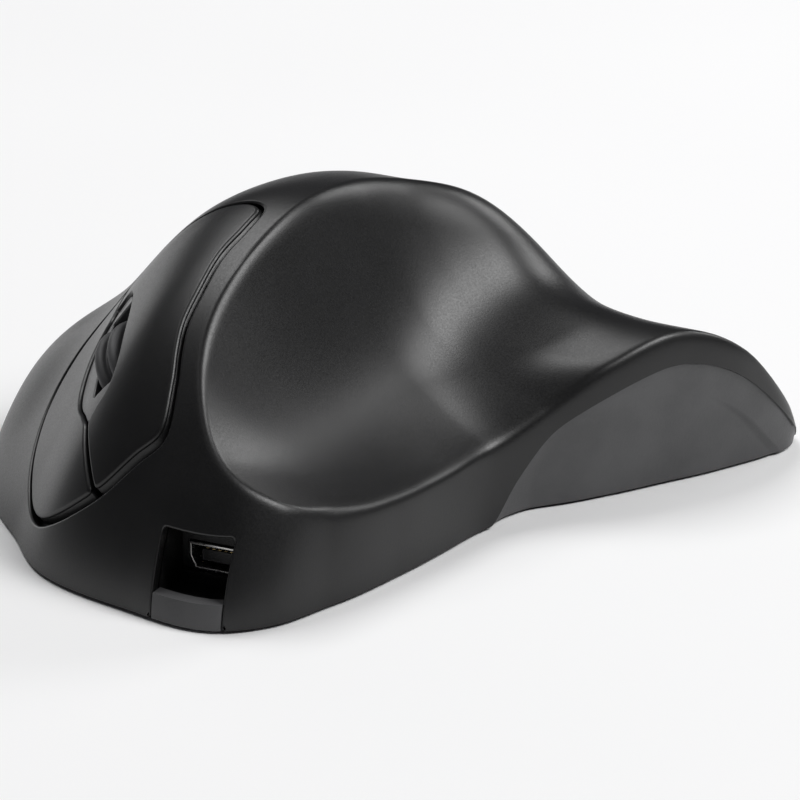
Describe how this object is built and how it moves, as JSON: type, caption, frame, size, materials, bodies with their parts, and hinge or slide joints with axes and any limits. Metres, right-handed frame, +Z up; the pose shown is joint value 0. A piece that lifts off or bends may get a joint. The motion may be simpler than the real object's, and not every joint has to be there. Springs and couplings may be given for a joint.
{
  "type": "ergonomic computer mouse",
  "caption": "Tilted right-hand wireless ergonomic mouse: humped palm shell with a deep thumb scoop and wing, split finger keys, a scroll wheel and a charging socket in the front wall.",
  "frame": {"origin": "on the table under the middle of the plan outline, at the lower faces of the glide feet", "axes": "+Z up, +Y the way the fingers point, -X the thumb side"},
  "size_m": [0.14, 0.153, 0.061],
  "materials": {
    "shell_black": "satin soft touch",
    "base_black": "fine grain",
    "key_black": "satin soft touch",
    "wheel_plastic": "smooth",
    "bezel_black": "satin",
    "tyre_rubber": "ribbed",
    "pocket_black": "fine grain",
    "socket_steel": "plated",
    "socket_tongue": "moulded",
    "contact_brass": "plated",
    "pin_steel": "ground",
    "chassis_plastic": "moulded",
    "board_green": "solder mask",
    "switch_black": "moulded",
    "plunger_red": "moulded",
    "encoder_blue": "moulded",
    "chip_black": "moulded",
    "lens_clear": "clear moulding",
    "battery_wrap": "shrink wrap",
    "lead_sheath": "sheath",
    "ribbon_white": "flat cable",
    "slider_grey": "moulded",
    "glide_grey": "low friction film",
    "screw_steel": "black oxide"
  },
  "bodies": {
    "body": {"upper_shell": "shell_black", "lower_shell": "base_black", "hinge_pin": "pin_steel", "finger_chassis": "chassis_plastic", "switch_board": "board_green", "left_switch": "switch_black", "right_switch": "switch_black", "cradle_pin": "pin_steel", "wheel_switch": "switch_black", "wheel_bezel": "bezel_black", "port_housing": "pocket_black", "usb_shell": "socket_steel", "usb_tongue": "socket_tongue", "usb_contacts": "contact_brass", "main_board": "board_green", "board_chips": "chip_black", "sensor_chip": "chip_black", "sensor_lens": "lens_clear", "battery": "battery_wrap", "battery_lead": "lead_sheath", "ribbon_cable": "ribbon_white", "power_switch": "switch_black", "glide_feet": "glide_grey", "body_screws": "screw_steel"},
    "left_key": {"left_button": "key_black"},
    "right_key": {"right_button": "key_black"},
    "left_click": {"left_plunger": "plunger_red"},
    "right_click": {"right_plunger": "plunger_red"},
    "cradle": {"wheel_cradle": "chassis_plastic", "encoder": "encoder_blue"},
    "wheel": {"wheel_hub": "wheel_plastic", "wheel_tyre": "tyre_rubber"},
    "middle_click": {"wheel_plunger": "plunger_red"},
    "power_knob": {"power_slider": "slider_grey"}
  },
  "joints": [
    {"name": "left_press", "type": "hinge", "parent": "body", "child": "left_key", "pos_m": [0.03165, 0.02123, 0.03324], "axis": [-0.766, 0, 0.6428], "range_deg": [0, 1.2], "stiffness_Nm_per_rad": 0.8, "springref_deg": -1.15},
    {"name": "right_press", "type": "hinge", "parent": "body", "child": "right_key", "pos_m": [0.03165, 0.02123, 0.03324], "axis": [-0.766, 0, 0.6428], "range_deg": [0, 1.2], "stiffness_Nm_per_rad": 0.8, "springref_deg": -1.15},
    {"name": "wheel_press", "type": "hinge", "parent": "body", "child": "cradle", "pos_m": [0.02503, 0.02195, 0.03001], "axis": [-0.766, 0, 0.6428], "range_deg": [0, 0.75], "stiffness_Nm_per_rad": 2, "springref_deg": -0.57},
    {"name": "wheel_spin", "type": "hinge", "parent": "cradle", "child": "wheel", "pos_m": [0.02474, 0.03664, 0.02967], "axis": [0.766, 0, -0.6428], "continuous": true},
    {"name": "left_plunge", "type": "slide", "parent": "body", "child": "left_click", "axis": [-0.5826, -0.4226, -0.6943], "range_m": [0, 0.0006]},
    {"name": "right_plunge", "type": "slide", "parent": "body", "child": "right_click", "axis": [-0.5826, -0.4226, -0.6943], "range_m": [0, 0.0006]},
    {"name": "wheel_plunge", "type": "slide", "parent": "body", "child": "middle_click", "axis": [-0.5826, -0.4226, -0.6943], "range_m": [0, 0.0004]},
    {"name": "power_slide", "type": "slide", "parent": "body", "child": "power_knob", "axis": [0, 1, 0], "range_m": [0, 0.003]}
  ],
  "couplings": [
    {"joint": "left_plunge", "follows": "left_press", "m_per_rad": 0.028},
    {"joint": "right_plunge", "follows": "right_press", "m_per_rad": 0.028},
    {"joint": "wheel_plunge", "follows": "wheel_press", "m_per_rad": 0.029}
  ]
}
